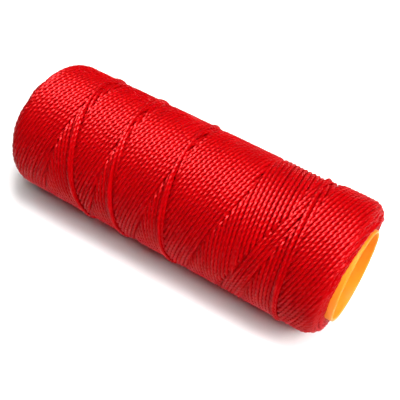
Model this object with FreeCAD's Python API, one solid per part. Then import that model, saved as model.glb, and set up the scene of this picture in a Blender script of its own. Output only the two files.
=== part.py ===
"""Reel of twisted twine: a cross-wound package of cord on a plain plastic tube, lying on its side.

Frame: +X along the tube's bore, +Z up. The origin is at the middle of the reel's footprint,
on the surface that the reel lies on. Millimetres.
"""
import FreeCAD
import Part
import math
import os

# Cord
CORD_DIAMETER = 1.5

# Winding: the whole package of cord, without the tube
WINDING_DIAMETER = 50.0
WINDING_LENGTH = 128.0
SHOULDER_RADIUS = 5.2        # rounding of the package's two ends, where each layer turns back
REST_FLAT_WIDTH = 5.0        # soft cord pressed flat where the reel lies
LAYERS = 5                   # one layer is the cord laid from end to end and back

# Tube
TUBE_OUTSIDE_DIAMETER = 34.4
TUBE_WALL = 1.2
TUBE_STANDS_OUT = 2.2        # beyond the winding, at each end
RIM_ROUND = 0.45             # rounding of the tube's moulded end edges

# Outer end of the cord, lying round the winding's rear lower side, seen from the bore axis
TAIL_X = 20.0
TAIL_LOW_DEG = -64.0         # from the horizontal +Y direction, towards +Z
TAIL_SWEEP_DEG = 42.0

# Worked out
WINDING_RADIUS = WINDING_DIAMETER / 2
TUBE_RADIUS = TUBE_OUTSIDE_DIAMETER / 2
BORE_RADIUS = TUBE_RADIUS - TUBE_WALL
TUBE_LENGTH = WINDING_LENGTH + 2 * TUBE_STANDS_OUT
LAYER_THICKNESS = (WINDING_RADIUS - TUBE_RADIUS) / LAYERS
AXIS_HEIGHT = math.sqrt(WINDING_RADIUS ** 2 - (REST_FLAT_WIDTH / 2) ** 2)

X_AXIS = FreeCAD.Vector(1, 0, 0)


def cylinder(radius, length):
    """Solid cylinder on the bore axis, centred on x = 0."""
    return Part.makeCylinder(radius, length, FreeCAD.Vector(-length / 2, 0, AXIS_HEIGHT), X_AXIS)


def end_edges(shape, length):
    """The round edges that lie in the two end planes of a shape of this length."""
    edges = []
    for edge in shape.Edges:
        if abs(abs(edge.CenterOfMass.x) - length / 2) < 1e-6:
            edges.append(edge)
    return edges


def make_tube():
    """Thin-walled tube, open right through, with softly rounded rims."""
    tube = cylinder(TUBE_RADIUS, TUBE_LENGTH).cut(cylinder(BORE_RADIUS, TUBE_LENGTH))
    return tube.makeFillet(RIM_ROUND, end_edges(tube, TUBE_LENGTH))


def make_winding():
    """Outer form of all the wound cord: round shoulders, and a flat where it lies."""
    body = cylinder(WINDING_RADIUS, WINDING_LENGTH)
    body = body.makeFillet(SHOULDER_RADIUS, end_edges(body, WINDING_LENGTH))
    below = Part.makeBox(
        WINDING_LENGTH, WINDING_DIAMETER, WINDING_DIAMETER,
        FreeCAD.Vector(-WINDING_LENGTH / 2, -WINDING_RADIUS, -WINDING_DIAMETER),
    )
    return body.cut(below)


def make_layer(winding, number):
    """One wound layer: the part of the winding between two radii. Layer 1 is innermost."""
    inner = TUBE_RADIUS + (number - 1) * LAYER_THICKNESS
    layer = winding.cut(cylinder(inner, WINDING_LENGTH))
    if number < LAYERS:
        layer = layer.common(cylinder(inner + LAYER_THICKNESS, WINDING_LENGTH))
    return layer


def make_tail():
    """Last stretch of the cord, bent round the outside of the winding."""
    bend = WINDING_RADIUS + CORD_DIAMETER / 2
    low = math.radians(TAIL_LOW_DEG)
    across = FreeCAD.Vector(0, math.cos(low), math.sin(low))
    centre = FreeCAD.Vector(TAIL_X, 0, AXIS_HEIGHT)
    end = Part.Wire(Part.makeCircle(CORD_DIAMETER / 2, centre + across * bend, X_AXIS.cross(across)))
    return Part.Face(end).revolve(centre, X_AXIS, TAIL_SWEEP_DEG)


def export(name, shape):
    """Write one closed solid to its own STEP file."""
    if len(shape.Solids) != 1 or not shape.isValid():
        raise ValueError(name + " is not one valid solid")
    shape.Solids[0].exportStep("parts/" + name + ".step")
    print(name, round(shape.Volume / 1000, 2), "cm3", shape.BoundBox)


def main():
    os.makedirs("parts", exist_ok=True)
    export("core_tube", make_tube())
    winding = make_winding()
    for number in range(1, LAYERS + 1):
        export("winding_layer_%d" % number, make_layer(winding, number))
    export("cord_tail", make_tail())


main()
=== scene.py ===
import math

import bpy
import numpy as np
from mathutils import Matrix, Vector


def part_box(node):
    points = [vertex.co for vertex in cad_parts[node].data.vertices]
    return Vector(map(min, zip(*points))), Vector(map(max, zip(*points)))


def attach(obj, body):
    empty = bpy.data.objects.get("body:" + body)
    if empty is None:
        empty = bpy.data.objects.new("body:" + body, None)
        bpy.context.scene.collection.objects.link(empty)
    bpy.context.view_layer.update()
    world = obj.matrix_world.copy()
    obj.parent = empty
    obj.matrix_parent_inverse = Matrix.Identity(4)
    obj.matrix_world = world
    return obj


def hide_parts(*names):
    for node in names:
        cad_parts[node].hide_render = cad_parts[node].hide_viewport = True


# A flangeless reel of twisted twine, cross-wound on a plastic tube and lying on its side.
# The winding is worked out in millimetres and degrees and its meshes are made in metres.
# An angle goes round the bore from +Y (0) over the top (90) to -Y (180) and the floor (270).

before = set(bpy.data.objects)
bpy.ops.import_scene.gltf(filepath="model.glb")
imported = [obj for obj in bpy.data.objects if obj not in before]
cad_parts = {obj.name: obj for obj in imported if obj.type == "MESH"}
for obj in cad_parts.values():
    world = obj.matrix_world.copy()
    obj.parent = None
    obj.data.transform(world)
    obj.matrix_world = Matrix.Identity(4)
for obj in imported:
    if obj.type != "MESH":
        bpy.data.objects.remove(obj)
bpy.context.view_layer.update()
MM = 0.001

tube_low, tube_high = [Vector(corner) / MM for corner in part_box("core_tube")]
wound_high = Vector(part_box("winding_layer_5")[1]) / MM
inner_high = Vector(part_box("winding_layer_1")[1]) / MM
tail_low, tail_high = [Vector(corner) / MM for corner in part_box("cord_tail")]

AXIS_HEIGHT = (tube_low.z + tube_high.z) / 2
TUBE_RADIUS = (tube_high.z - tube_low.z) / 2
WINDING_RADIUS = wound_high.z - AXIS_HEIGHT
WINDING_HALF = inner_high.x
SHOULDER = 5.2                     # radius of the winding's round shoulders

# Cord
CORD = 1.5
PLIES = 3
LAY = 6.5                          # length of one turn of the plies
PLY_RADIUS = 0.50
PLY_OFFSET = 0.30                  # of a ply's middle from the cord's
POINTS_PER_PLY = 5
STEP_DEG = 1.2                     # along a turn, between two sections of the cord
CORD_REST = CORD * 0.52            # from a cord's middle to the surface it lies on

# Strokes
STROKES = 16                       # cords side by side in one pitch, in each direction
SPACING = 1.41                     # between neighbours, which press into each other a little
PITCH = STROKES * SPACING          # along the bore, in one turn
FORWARD_SWAY = 3.5                 # by which the forward strokes lie steeper at the front
FORWARD_SWAY_AT = 165.0
BACK_SWAY = 0.054                  # the same for the return strokes, which fan out from a centre
BACK_SWAY_AT = 127.0
BACK_SWAY_CENTRE = 10.0
WANDER = 0.10                      # of a stroke from its even course, along the bore
WANDER_DEG = 30.0                  # of turn for one unit of that noise
MOST_DEG = 1600                    # more than any stroke turns either way
TURN_BACK = 62.5                   # where a stroke starts to turn, from the reel's middle
TURN_STAGGER = 0.5
TURN_DEG = 55.0                    # of arc in one turning loop
TURN_DEG_MISS = 32.0               # by which a loop's arc may differ
LOOP_BULGE_RIGHT = (-0.1, 0.6)     # by which a turning loop stands further out, least and most
LOOP_BULGE_LEFT = (0.05, 0.4)
LOOP_SEED = 7100

# Winding: how the outer layer differs from a plain round cylinder
DROP = 1.15                        # of a stroke that passes under the other direction's
OUTER_LIFT = 0.15                  # of the strokes over a smooth winding's outside
UNEVEN = 0.07                      # in and out, along a stroke
UNEVEN_DEG = 25.0
UNEVEN_SEED = 900
LEAN_RIGHT = 1.8                   # of the winding's ends, which are not quite square to the bore
LEAN_RIGHT_AT = 70.0
LEAN_RIGHT_EVEN = 0.1              # share of that lean that is the same all round
LEAN_LEFT = 1.5
LEAN_LEFT_AT = 358.0
LEAN_ZONE = (25, 58)               # from the reel's middle, where a lean comes in
SWELL = 0.9                        # of the winding near its right end, on the far side
SWELL_AT = 55.0
SWELL_ZONE = (40, 50)


def smoothstep(value, low, high):
    t = np.clip((value - low) / (high - low), 0, 1)
    return t * t * (3 - 2 * t)


def wobble(t, seed, count=4):
    """Smooth noise of about -1 to 1 along t, the same on each run."""
    rng = np.random.default_rng(seed)
    total = np.zeros_like(t, dtype=float)
    for _ in range(count):
        total += np.sin(t * rng.uniform(0.4, 2.2) + rng.uniform(0, 2 * math.pi))
    return total / count


# Seams: each is where the return strokes come out on top, between a forward stroke's edge and
# a return stroke's edge. (place of its upper end, its width there, and how fast its two edges
# run apart below, in mm per degree)
SEAMS = [
    (-44.0, 3.0, 0.05, 0.10),
    (-24.0, 1.6, 0.05, 0.067),
    (-1.0, 0.9, 0.095, 0.05),
    (24.8, 15.0, 0.14, -0.16),
    (43.4, 2.3, 0.095, 0.04),
]
SEAM_TOP = 40.0                    # angle of a seam's upper end
SEAM_OPENS = 106.0                 # angle from which its edges run apart
SEAM_WIDEST = 236.0
SEAM_CLOSES = 400.0                # angle at which it is back to its width at the upper end


def seam_edges(seam, angle):
    """Lowest and highest place along the bore where the return strokes are on top."""
    place, width, left, right = seam
    phase = (angle - SEAM_TOP) % 360 + SEAM_TOP
    opened = np.clip(phase, SEAM_OPENS, SEAM_WIDEST) - SEAM_OPENS
    closing = 1 - smoothstep(phase, SEAM_WIDEST, SEAM_CLOSES)
    low = place - left * opened * closing
    high = place + width + right * opened * closing
    return low, high


# How far inside a seam's low and high edges a stroke changes between on top and under
FORWARD_DIVES = ((0.3, 2.0), (-2.4, -0.5))
RETURN_RISES = ((0.5, 2.4), (-2.0, -0.3))


def in_seams(x, angle, at_low, at_high):
    """0 where a place is outside every seam, 1 where it is well inside one."""
    most = np.zeros_like(x)
    for seam in SEAMS:
        low, high = seam_edges(seam, angle)
        inside = smoothstep(x - low, *at_low) * smoothstep(high - x, *at_high)
        most = np.maximum(most, inside)
    return most


SHOULDER_SPARE = 0.02              # by which a cord stops short of the shoulder's foot


def surface_radius(x):
    """Radius of a cord's centre line as it lies in the outside of the winding."""
    widest = SHOULDER - CORD / 2 - SHOULDER_SPARE
    over = np.clip(np.abs(x) - (WINDING_HALF - SHOULDER), 0, widest)
    flat = WINDING_RADIUS - SHOULDER
    return flat + np.sqrt((SHOULDER - CORD / 2) ** 2 - over ** 2)


def forward_place(start, angle):
    sway = FORWARD_SWAY * np.sin(np.radians(angle - FORWARD_SWAY_AT))
    return start - PITCH * angle / 360 - sway


def return_place(start, angle):
    straight = start + PITCH * angle / 360
    sway = BACK_SWAY * (BACK_SWAY_CENTRE - straight) * np.sin(np.radians(angle - BACK_SWAY_AT))
    return straight + sway


def stroke_span(place, start, limit):
    """The angles at which a stroke leaves one end and reaches the other."""
    angles = np.arange(-MOST_DEG, MOST_DEG, STEP_DEG)
    x = place(start, angles)
    inside = np.nonzero((x > -limit) & (x < limit))[0]
    return angles[inside[0]], angles[inside[-1]]


def loop(x0, slope0, x1, slope1, count, span):
    """A cubic from one stroke into the next, round the end of the winding."""
    t = np.arange(1, count) / count
    h00 = 2 * t ** 3 - 3 * t ** 2 + 1
    h10 = t ** 3 - 2 * t ** 2 + t
    h01 = -2 * t ** 3 + 3 * t ** 2
    h11 = t ** 3 - t ** 2
    return h00 * x0 + h10 * span * slope0 + h01 * x1 + h11 * span * slope1


def make_stroke(index, forward):
    """One stroke from end to end: its angles and its places along the bore."""
    limit = TURN_BACK + TURN_STAGGER * (-1) ** index
    place = forward_place if forward else return_place
    first, last = stroke_span(place, index * SPACING, limit)
    angle = np.arange(first, last, STEP_DEG)
    x = place(index * SPACING, angle)
    x = x + WANDER * wobble(angle / WANDER_DEG, 100 * index + forward)
    return angle, x


def chain():
    """All strokes in the order in which they are laid, as one angle and place list per run.

    Each stroke turns back into the free stroke of the other direction that starts best.
    """
    strokes = {True: [make_stroke(i, True) for i in range(STROKES)]}
    strokes[False] = [make_stroke(i, False) for i in range(STROKES)]
    free = {True: set(range(STROKES)), False: set(range(STROKES))}
    runs = []
    while free[True] or free[False]:
        forward = bool(free[True])
        index = min(free[forward])
        free[forward].remove(index)
        runs.append(list(strokes[forward][index]))
        while free[not forward]:
            forward = not forward
            end = runs[-1][0][-1]
            gap = {}
            for candidate in free[forward]:
                gap[candidate] = (strokes[forward][candidate][0][0] - end) % 360
            index = min(gap, key=lambda one: abs(gap[one] - TURN_DEG))
            if abs(gap[index] - TURN_DEG) > TURN_DEG_MISS:
                break
            free[forward].remove(index)
            join(runs[-1], strokes[forward][index], gap[index])
    return runs


def join(run, stroke, gap):
    """Adds a turning loop and the next stroke to a run."""
    angle, x = run
    count = max(2, round(gap / STEP_DEG))
    next_angle, next_x = stroke
    slope0 = (x[-1] - x[-4]) / (angle[-1] - angle[-4])
    slope1 = (next_x[3] - next_x[0]) / (next_angle[3] - next_angle[0])
    bend = loop(x[-1], slope0, next_x[0], slope1, count, gap)
    rng = np.random.default_rng(LOOP_SEED + len(x))
    bulge = rng.uniform(*LOOP_BULGE_RIGHT) if x[-1] > 0 else -rng.uniform(*LOOP_BULGE_LEFT)
    bend = bend + bulge * np.sin(math.pi * np.arange(1, count) / count) ** 2
    bend_angle = angle[-1] + gap * np.arange(1, count) / count
    run[0] = np.concatenate([angle, bend_angle, next_angle - next_angle[0] + angle[-1] + gap])
    run[1] = np.concatenate([x, bend, next_x])


def on_reel(angle, x, radius):
    """Points in metres from angles, places along the bore and radii."""
    turn = np.radians(angle)
    facing = np.clip(np.cos(np.radians(angle - SWELL_AT)), 0, 1)
    radius = radius + SWELL * smoothstep(x, *SWELL_ZONE) * facing ** 2
    y = radius * np.cos(turn)
    z = radius * np.sin(turn) + AXIS_HEIGHT
    z = np.maximum(z, CORD_REST)
    round_right = np.cos(np.radians(angle - LEAN_RIGHT_AT))
    round_right = LEAN_RIGHT_EVEN + (1 - LEAN_RIGHT_EVEN) * round_right
    round_left = np.cos(np.radians(angle - LEAN_LEFT_AT))
    lean = LEAN_RIGHT * smoothstep(x, *LEAN_ZONE) * round_right
    lean = lean + LEAN_LEFT * smoothstep(-x, *LEAN_ZONE) * round_left
    return np.stack([x + lean, y, z], axis=1) * MM


def section(twist):
    """Outline of the plies across the cord, turned by each given twist: rows of (out, side)."""
    around = []
    half = math.pi / PLIES
    across = PLY_OFFSET * math.sin(half)
    valley = PLY_OFFSET * math.cos(half) + math.sqrt(PLY_RADIUS ** 2 - across ** 2)
    reach = math.atan2(valley * math.sin(half), valley * math.cos(half) - PLY_OFFSET)
    for ply in range(PLIES):
        middle = 2 * math.pi * ply / PLIES
        for point in range(POINTS_PER_PLY):
            spread = reach * (2 * (point + 0.5) / POINTS_PER_PLY - 1)
            out = PLY_OFFSET * math.cos(middle) + PLY_RADIUS * math.cos(middle + spread)
            side = PLY_OFFSET * math.sin(middle) + PLY_RADIUS * math.sin(middle + spread)
            around.append((out, side))
    around = np.array(around)
    c, s = np.cos(twist)[:, None], np.sin(twist)[:, None]
    out = around[None, :, 0] * c - around[None, :, 1] * s
    side = around[None, :, 0] * s + around[None, :, 1] * c
    return out * MM, side * MM


class Cords:
    """Collects stretches of twisted cord into one mesh."""

    def __init__(self):
        self.points = []
        self.quads = []
        self.triangles = []
        self.count = 0

    def add(self, path, outward, start=0.0):
        """A closed stretch of cord along a path. start is its length before the path, in mm."""
        if len(path) < 3:
            return
        tangent = np.gradient(path, axis=0)
        length = np.linalg.norm(tangent, axis=1, keepdims=True)
        tangent = tangent / length
        out = outward - (outward * tangent).sum(1, keepdims=True) * tangent
        out = out / np.linalg.norm(out, axis=1, keepdims=True)
        side = np.cross(tangent, out)
        steps = np.linalg.norm(np.diff(path, axis=0), axis=1) / MM
        gone = np.concatenate([[0], np.cumsum(steps)]) + start
        across_out, across_side = section(2 * math.pi * gone / LAY)
        ring = path[:, None] + across_out[..., None] * out[:, None]
        ring = ring + across_side[..., None] * side[:, None]
        rows, columns = ring.shape[:2]
        index = self.count + np.arange(rows * columns).reshape(rows, columns)
        ahead = np.roll(index, -1, axis=1)
        quads = np.stack([index[:-1], ahead[:-1], ahead[1:], index[1:]], axis=-1).reshape(-1, 4)
        self.quads.append(quads)
        self.points.append(ring.reshape(-1, 3))
        self.count += rows * columns
        for row, flip in ((index[0], True), (index[-1], False)):
            self.points.append(path[:1] if flip else path[-1:])
            hub = np.full(columns, self.count)
            turned = np.roll(row, -1)
            pair = (turned, row) if flip else (row, turned)
            self.triangles.append(np.stack([pair[0], pair[1], hub], axis=-1))
            self.count += 1

    def triangle_count(self):
        return sum(2 * len(q) for q in self.quads) + sum(len(t) for t in self.triangles)

    def build(self, name, material):
        points = np.concatenate(self.points)
        quads = np.concatenate(self.quads)
        triangles = np.concatenate(self.triangles)
        mesh = bpy.data.meshes.new(name)
        mesh.vertices.add(len(points))
        mesh.vertices.foreach_set("co", points.astype(np.float32).ravel())
        corners = np.concatenate([quads.ravel(), triangles.ravel()]).astype(np.int32)
        mesh.loops.add(len(corners))
        mesh.loops.foreach_set("vertex_index", corners)
        starts = np.concatenate([
            np.arange(len(quads)) * 4,
            len(quads) * 4 + np.arange(len(triangles)) * 3,
        ])
        mesh.polygons.add(len(starts))
        mesh.polygons.foreach_set("loop_start", starts.astype(np.int32))
        mesh.polygons.foreach_set("use_smooth", np.ones(len(starts), dtype=bool))
        mesh.update(calc_edges=True)
        mesh.validate()
        mesh.materials.append(material)
        piece = bpy.data.objects.new(name, mesh)
        bpy.context.collection.objects.link(piece)
        return piece


def stretches(keep):
    """Start and end of each unbroken stretch of true values."""
    edges = np.diff(np.concatenate([[0], keep.astype(int), [0]]))
    return zip(np.nonzero(edges == 1)[0], np.nonzero(edges == -1)[0])


def outward_of(angle):
    """Directions straight out from the bore, one for each angle."""
    turn = np.radians(angle)
    return np.stack([np.zeros_like(turn), np.cos(turn), np.sin(turn)], axis=1)


TRIANGLE_LIMIT = 150000            # in one piece, before the next is begun
TURN_SLOPE = 0.012                 # mm per degree: a stroke that is this steep has turned
TURN_RISE = (-3.0, -0.5)           # from TURN_BACK, where every stroke comes up to its loop
HIDDEN = 0.985                     # depth at which a stroke is out of sight
SHORTEST = 6                       # sections in a stretch
LONGEST = 900


def winding_cords(material):
    """The outer layer: every stroke, as far as it can be seen, with its turning loops."""
    bundles = [Cords()]
    for number, (angle, x) in enumerate(chain()):
        slope = np.gradient(x, angle)
        heading_back = smoothstep(slope, -TURN_SLOPE, TURN_SLOPE)
        forward_depth = in_seams(x, angle, *FORWARD_DIVES)
        return_depth = 1 - in_seams(x, angle, *RETURN_RISES)
        depth = (1 - heading_back) * forward_depth + heading_back * return_depth
        rise = smoothstep(np.abs(x), TURN_BACK + TURN_RISE[0], TURN_BACK + TURN_RISE[1])
        depth = depth * (1 - rise)
        lift = OUTER_LIFT + UNEVEN * wobble(angle / UNEVEN_DEG, UNEVEN_SEED + number)
        radius = surface_radius(x) - DROP * depth + lift
        path = on_reel(angle, x, radius)
        steps = np.linalg.norm(np.diff(path, axis=0), axis=1) / MM
        gone = np.concatenate([[0], np.cumsum(steps)])
        for first, last in stretches(depth < HIDDEN):
            if last - first < SHORTEST:
                continue
            parts = max(1, round((last - first) / LONGEST))
            for part in range(parts):
                a = first + (last - first) * part // parts
                b = min(last, first + (last - first) * (part + 1) // parts + 1)
                bundles[-1].add(path[a:b], outward_of(angle[a:b]), gone[a])
                if bundles[-1].triangle_count() > TRIANGLE_LIMIT:
                    bundles.append(Cords())
    filled = [bundle for bundle in bundles if bundle.count]
    return [b.build("wound_strokes_%d" % (n + 1), material) for n, b in enumerate(filled)]


# The last stroke laid, which stands proud of the rest: (angle, place along the bore)
LAST_STROKE = [
    (-95, -51.0), (40, -45.4), (75, -43.6), (115, -40.4), (150, -37.0), (195, -31.6),
    (240, -28.5), (400, -24.9), (435, -24.3), (465, -23.0), (510, -19.8), (555, -16.0),
    (600, -13.0), (760, -1.8), (795, -1.2), (830, -0.4), (870, 1.3), (915, 4.6), (960, 9.0),
    (1120, 24.6), (1155, 26.6), (1235, 31.0), (1330, 37.0), (1480, 42.8), (1515, 43.9),
    (1550, 45.4), (1590, 47.0), (1635, 49.2), (1710, 54.0), (1830, 61.3),
]
LAST_STROKE_LEVEL = (1100, 1420)   # degrees between which it lies level with its neighbours
LAST_STROKE_FADE = 60              # degrees over which each end of it comes up
LEVEL_FADE = 30                    # degrees, either way of where it goes level
PROUD = 0.75
SUNK = 0.7                         # of its two ends
SMOOTHING = 31                     # sections over which its course is smoothed, an odd number


def last_stroke(material):
    """The proud stroke, as one smooth course through its listed places."""
    knots = np.array(LAST_STROKE, dtype=float)
    angle = np.arange(knots[0, 0], knots[-1, 0], STEP_DEG)
    x = np.interp(angle, knots[:, 0], knots[:, 1])
    window = np.hanning(SMOOTHING)
    padded = np.pad(x, SMOOTHING // 2, mode="edge")
    x = np.convolve(padded, window / window.sum(), mode="valid")
    rises = smoothstep(angle, angle[0], angle[0] + LAST_STROKE_FADE)
    sinks = smoothstep(angle, angle[-1] - LAST_STROKE_FADE, angle[-1])
    ends = rises * (1 - sinks)
    low, high = LAST_STROKE_LEVEL
    goes_level = smoothstep(angle, low - LEVEL_FADE, low + LEVEL_FADE)
    comes_up = smoothstep(angle, high - LEVEL_FADE, high + LEVEL_FADE)
    level = goes_level * (1 - comes_up)
    radius = surface_radius(x) + PROUD * ends * (1 - level) - SUNK * (1 - ends)
    cords = Cords()
    cords.add(on_reel(angle, x, radius), outward_of(angle))
    return cords.build("last_stroke", material)


TAIL_TOP_DEG = 2.0                 # where its hidden end lies
TAIL_WAVE = 1.2                    # along the bore
TAIL_WAVE_RATE = 2.6               # degrees of wave for a degree of turn
TAIL_PROUD = 0.55
TAIL_DROP = 1.3                    # to its hidden end
TAIL_DIVES = (-22, -4)             # degrees between which it goes under


def cord_tail(material):
    """The cord's outer end, let out from under the last stroke and heat-sealed."""
    low = math.degrees(math.atan2(tail_low.z + CORD / 2 - AXIS_HEIGHT, tail_low.y + CORD / 2))
    angle = np.arange(low, TAIL_TOP_DEG, STEP_DEG)
    wave = TAIL_WAVE * np.sin(np.radians((angle - low) * TAIL_WAVE_RATE))
    x = (tail_low.x + tail_high.x) / 2 + wave
    radius = WINDING_RADIUS + TAIL_PROUD - TAIL_DROP * smoothstep(angle, *TAIL_DIVES)
    cords = Cords()
    cords.add(on_reel(angle, x, radius), outward_of(angle))
    return cords.build("cord_end", material)


END_LAYERS = 5
LOOPS_PER_LAYER = 9
END_SEED = 5000
END_COVER = 1.7                    # from the winding's outside to the inner layers' outermost loops
END_LEAST = 0.1                    # mm2, under the root where a layer meets the shoulder
END_HALF_DEG = (42, 58)            # half the arc of a loop, least and most
END_LAYER_DEG = 23                 # by which each layer's loops are turned on from the last
END_STRAY_DEG = 6
END_DIVES = 3.2                    # of a loop's two ends, into the winding
END_INSET = 0.5                    # of a loop, at most
END_ALTERNATE = 0.3                # by which every other loop lies deeper
END_LIFT = 0.25                    # outward at one end of a loop and inward at the other
END_LIFT_RATE = 2.2


def end_loops(name, side, material):
    """The turning loops of the layers inside, as they show on one of the winding's end faces."""
    cords = Cords()
    flat = WINDING_RADIUS - SHOULDER
    for layer in range(END_LAYERS):
        wound = layer * (WINDING_RADIUS - END_COVER - TUBE_RADIUS) / END_LAYERS
        radius = TUBE_RADIUS + CORD_REST + wound
        over = max(0.0, radius - flat)
        curve = math.sqrt(max(END_LEAST, (SHOULDER - CORD / 2) ** 2 - over ** 2))
        reach = WINDING_HALF - SHOULDER + curve
        for number in range(LOOPS_PER_LAYER):
            seed = END_SEED + 100 * layer + number + (50 if side > 0 else 0)
            rng = np.random.default_rng(seed)
            half = rng.uniform(*END_HALF_DEG)
            stray = rng.uniform(-END_STRAY_DEG, END_STRAY_DEG)
            middle = 360 * number / LOOPS_PER_LAYER + END_LAYER_DEG * layer + stray
            angle = np.arange(middle - half, middle + half, STEP_DEG)
            t = (angle - middle) / half
            inset = rng.uniform(0.0, END_INSET) + END_DIVES * t ** 4
            x = side * (reach - inset - END_ALTERNATE * (number % 2))
            if side > 0:
                round_right = np.cos(np.radians(angle - LEAN_RIGHT_AT))
                x = x + LEAN_RIGHT * np.clip(-round_right, 0, 1)
            lift = END_LIFT * np.sin(t * END_LIFT_RATE + number)
            cords.add(on_reel(angle, x, radius + lift), outward_of(angle))
    return cords.build(name, material)


BODY_COLUMNS = 240
BODY_RINGS = 161
BODY_SHORT = 1.2                   # of the winding's length, at each end
BODY_BELOW = 1.1                   # from the middles of the outer layer's cords down to the body
BODY_RIPPLE = 0.12                 # in and out, for the cords under the outer layer


def winding_body(material):
    """The layers under the strokes, seen only as the dark floor of the gaps between them. Their
    darker red is painted shade for those gaps; the twine there is the same red as outside.
    """
    columns = BODY_COLUMNS
    rings = []
    for share in np.linspace(-1, 1, BODY_RINGS):
        place = share * (WINDING_HALF - BODY_SHORT)
        rings.append((place, float(surface_radius(np.array(place))) - BODY_BELOW))
    profile = [(rings[0][0], TUBE_RADIUS)] + rings + [(rings[-1][0], TUBE_RADIUS)]
    vertices = []
    for place, radius in profile:
        for column in range(columns):
            turn = 2 * math.pi * column / columns
            r = radius
            if radius > TUBE_RADIUS:
                r += BODY_RIPPLE * math.sin(2 * math.pi * (place / SPACING) + turn * STROKES)
            y = r * math.cos(turn)
            z = r * math.sin(turn) + AXIS_HEIGHT
            vertices.append((place * MM, y * MM, z * MM))
    faces = []
    rows = len(profile)
    for row in range(rows):
        for column in range(columns):
            beside = (column + 1) % columns
            above = (row + 1) % rows
            faces.append((
                row * columns + column, above * columns + column,
                above * columns + beside, row * columns + beside,
            ))
    mesh = bpy.data.meshes.new("winding_body")
    mesh.from_pydata(vertices, [], faces)
    mesh.materials.append(material)
    for polygon in mesh.polygons:
        polygon.use_smooth = True
    piece = bpy.data.objects.new("winding_body", mesh)
    bpy.context.collection.objects.link(piece)
    return piece


def new_material(name):
    material = bpy.data.materials.new(name)
    material.use_nodes = True
    nodes = material.node_tree.nodes
    return material, nodes, material.node_tree.links, nodes["Principled BSDF"]


RED = ((0.29, 0.0, 0.001, 1.0), (0.335, 0.0, 0.001, 1.0))
# The darker red on the next line is painted shade for the gaps between the cords. The layers under
# the strokes are the same twine as the red above.
INSIDE_RED_PAINTED_SHADE = ((0.14, 0.0, 0.0005, 1.0), (0.18, 0.0, 0.0005, 1.0))
ORANGE = ((0.66, 0.19, 0.010, 1.0), (0.74, 0.23, 0.018, 1.0))


def twine_material(name, deep, bright):
    """Glossy twisted filament: colour varies a little, and fine filaments roughen the gloss."""
    material, nodes, links, shader = new_material(name)
    place = nodes.new("ShaderNodeTexCoord")
    broad = nodes.new("ShaderNodeTexNoise")
    broad.inputs["Scale"].default_value = 90
    broad.inputs["Detail"].default_value = 3
    links.new(place.outputs["Object"], broad.inputs["Vector"])
    ramp = nodes.new("ShaderNodeValToRGB")
    ramp.color_ramp.elements[0].position = 0.3
    ramp.color_ramp.elements[0].color = deep
    ramp.color_ramp.elements[1].position = 0.7
    ramp.color_ramp.elements[1].color = bright
    links.new(broad.outputs["Fac"], ramp.inputs["Fac"])
    links.new(ramp.outputs["Color"], shader.inputs["Base Color"])
    fine = nodes.new("ShaderNodeTexNoise")
    fine.inputs["Scale"].default_value = 4200
    fine.inputs["Detail"].default_value = 2
    links.new(place.outputs["Object"], fine.inputs["Vector"])
    bump = nodes.new("ShaderNodeBump")
    bump.inputs["Strength"].default_value = 0.1
    bump.inputs["Distance"].default_value = 0.00008
    links.new(fine.outputs["Fac"], bump.inputs["Height"])
    links.new(bump.outputs["Normal"], shader.inputs["Normal"])
    shader.inputs["Roughness"].default_value = 0.36
    shader.inputs["Metallic"].default_value = 0.1
    shader.inputs["Specular IOR Level"].default_value = 0.025
    shader.inputs["Subsurface Weight"].default_value = 0.6
    shader.inputs["Subsurface Radius"].default_value = (1.0, 0.05, 0.05)
    shader.inputs["Subsurface Scale"].default_value = 0.0008
    return material


def tube_material():
    """Translucent orange plastic with a moulded gloss."""
    material, nodes, links, shader = new_material("orange_plastic")
    place = nodes.new("ShaderNodeTexCoord")
    cloud = nodes.new("ShaderNodeTexNoise")
    cloud.inputs["Scale"].default_value = 60
    links.new(place.outputs["Object"], cloud.inputs["Vector"])
    ramp = nodes.new("ShaderNodeValToRGB")
    ramp.color_ramp.elements[0].color = ORANGE[0]
    ramp.color_ramp.elements[1].color = ORANGE[1]
    links.new(cloud.outputs["Fac"], ramp.inputs["Fac"])
    links.new(ramp.outputs["Color"], shader.inputs["Base Color"])
    shader.inputs["Roughness"].default_value = 0.4
    shader.inputs["Specular IOR Level"].default_value = 0.06
    shader.inputs["Subsurface Weight"].default_value = 0.4
    shader.inputs["Subsurface Radius"].default_value = (1.0, 0.35, 0.05)
    shader.inputs["Subsurface Scale"].default_value = 0.003
    return material


def floor_material():
    material, _, _, shader = new_material("studio_floor")
    shader.inputs["Base Color"].default_value = (0.92, 0.92, 0.92, 1.0)
    shader.inputs["Roughness"].default_value = 0.7
    shader.inputs["Specular IOR Level"].default_value = 0.1
    return material


# Camera: how it looks at the reel
CAMERA_ELEVATION = 53.2            # degrees above the horizon
CAMERA_YAW = 32.85                 # degrees from square on, towards the end that shows
CAMERA_DISTANCE = 290.3            # mm, from the reel's middle, along the line of sight
CAMERA_ASIDE = -3.1                # mm by which the reel's middle is right of the line of sight
CAMERA_ABOVE = 3.0                 # mm by which the reel's middle is above it
CAMERA_LENS = 72.0                 # mm
CAMERA_SENSOR = 36.0               # mm


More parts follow.
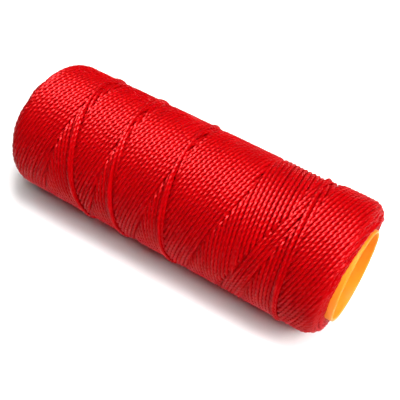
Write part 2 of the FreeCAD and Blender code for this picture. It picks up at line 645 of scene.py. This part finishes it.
def make_camera():
    """The view from above and to the side of the end that shows."""
    elevation, yaw = math.radians(CAMERA_ELEVATION), math.radians(CAMERA_YAW)
    toward = Vector((
        math.cos(elevation) * math.sin(yaw),
        -math.cos(elevation) * math.cos(yaw),
        math.sin(elevation),
    ))
    turn = toward.to_track_quat("Z", "Y")
    right, up = turn @ Vector((1, 0, 0)), turn @ Vector((0, 1, 0))
    middle = Vector((0, 0, AXIS_HEIGHT))
    place = middle - right * CAMERA_ASIDE - up * CAMERA_ABOVE + toward * CAMERA_DISTANCE
    data = bpy.data.cameras.new("camera")
    data.lens = CAMERA_LENS
    data.sensor_width = CAMERA_SENSOR
    data.clip_start = 0.01
    camera = bpy.data.objects.new("camera", data)
    bpy.context.collection.objects.link(camera)
    camera.rotation_mode = "QUATERNION"
    camera.rotation_quaternion = turn
    camera.location = place * MM
    bpy.context.scene.camera = camera


def area_light(name, place, aim, width, height, power):
    """A rectangular light. Places and sizes are in metres, and power is in watts."""
    data = bpy.data.lights.new(name, "AREA")
    data.shape = "RECTANGLE"
    data.size, data.size_y = width, height
    data.energy = power
    light = bpy.data.objects.new(name, data)
    bpy.context.collection.objects.link(light)
    light.location = place
    light.rotation_mode = "QUATERNION"
    light.rotation_quaternion = (Vector(place) - Vector(aim)).to_track_quat("Z", "Y")
    return light


FLOOR_HALF = 3.0                   # metres
WORLD_STRENGTH = 0.01


def make_stage():
    """A pale floor, lights for the cord's colour, and one more that only shows as gloss."""
    half = FLOOR_HALF
    corners = [(-half, -half, 0), (half, -half, 0), (half, half, 0), (-half, half, 0)]
    mesh = bpy.data.meshes.new("floor")
    mesh.from_pydata(corners, [], [(0, 1, 2, 3)])
    mesh.materials.append(floor_material())
    floor = bpy.data.objects.new("floor", mesh)
    bpy.context.collection.objects.link(floor)
    world = bpy.data.worlds.new("studio")
    bpy.context.scene.world = world
    world.use_nodes = True
    background = world.node_tree.nodes["Background"]
    background.inputs["Color"].default_value = (1, 1, 1, 1)
    background.inputs["Strength"].default_value = WORLD_STRENGTH
    middle = (0, 0, AXIS_HEIGHT * MM)
    fill = area_light("fill", (0.56, -0.09, 0.70), middle, 0.5, 0.35, 9.5)
    fill.visible_glossy = False
    key = area_light("key", (0.16, 0.10, 0.90), middle, 0.5, 0.28, 12.0)
    key.visible_glossy = False
    front = area_light("front", (0.35, -0.45, 0.05), middle, 0.4, 0.08, 0.75)
    front.visible_glossy = False
    gloss = area_light("gloss", (-0.10, 0.10, 0.90), middle, 0.7, 0.20, 150.0)
    gloss.visible_diffuse = False
    bpy.context.scene.view_settings.view_transform = "Standard"


def main():
    make_camera()
    make_stage()
    red = twine_material("red_twine", *RED)
    # The winding body's darker red is painted shade in the gaps between the cords.
    dark = twine_material("red_twine_painted_shade", *INSIDE_RED_PAINTED_SHADE)
    pieces = winding_cords(red)
    pieces.append(last_stroke(red))
    pieces.append(end_loops("end_loops_left", -1, red))
    pieces.append(end_loops("end_loops_right", 1, red))
    for piece in pieces:
        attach(piece, "root")
        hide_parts("winding_layer_5")
    tail = cord_tail(red)
    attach(tail, "root")
    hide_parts("cord_tail")
    body = winding_body(dark)
    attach(body, "root")
    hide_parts("winding_layer_1", "winding_layer_2", "winding_layer_3", "winding_layer_4")
    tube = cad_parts["core_tube"]
    tube.data.materials.clear()
    tube.data.materials.append(tube_material())


main()
